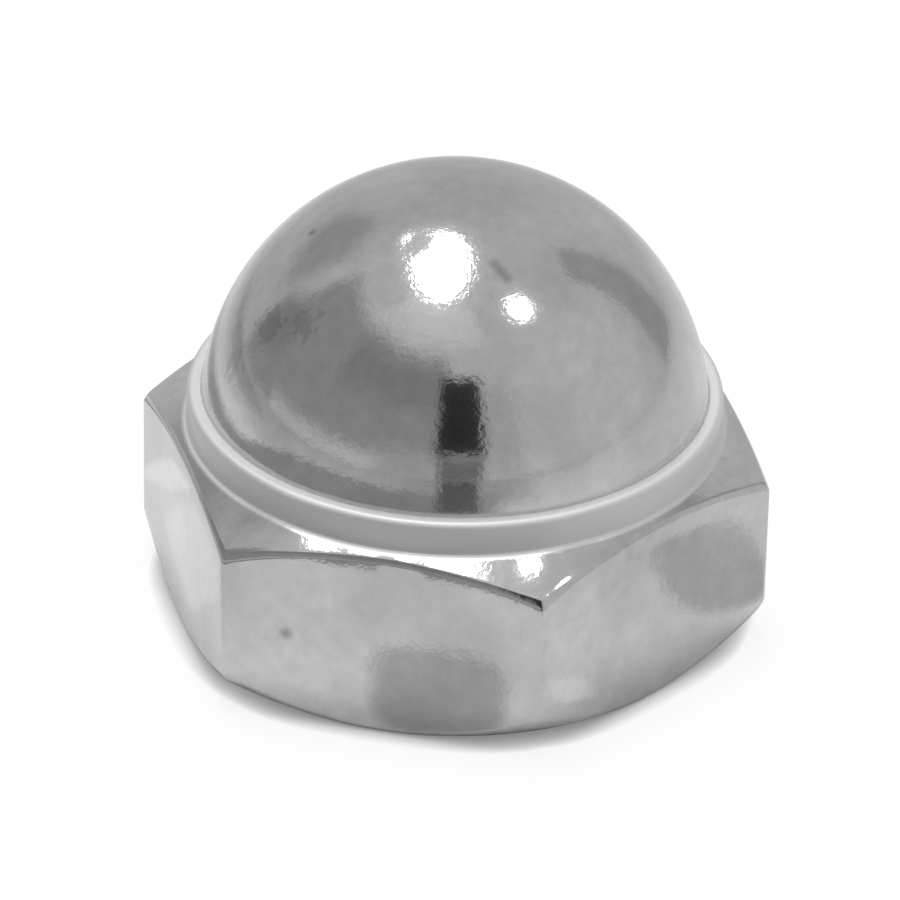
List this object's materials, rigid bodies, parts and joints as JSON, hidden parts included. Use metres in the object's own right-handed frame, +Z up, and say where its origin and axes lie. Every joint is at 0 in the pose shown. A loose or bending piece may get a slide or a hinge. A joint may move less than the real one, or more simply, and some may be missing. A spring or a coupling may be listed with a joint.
{
  "type": "cap nut",
  "caption": "Low-form hexagon cap nut in one piece: a chamfered hexagon, an upright collar and a closed dome over a blind threaded hole.",
  "frame": {"origin": "centre of the bearing face, on the axis of the thread", "axes": "+Z up the thread's axis to the top of the dome; two corners of the hexagon lie on the X axis, and two flats face +Y and -Y"},
  "size_m": [0.0196, 0.017, 0.014],
  "materials": {
    "plated_steel": "bright nickel plating on steel, faintly orange-peeled and smudged, with a few specks"
  },
  "bodies": {
    "root": {"cap_nut": "plated_steel"}
  },
  "joints": []
}
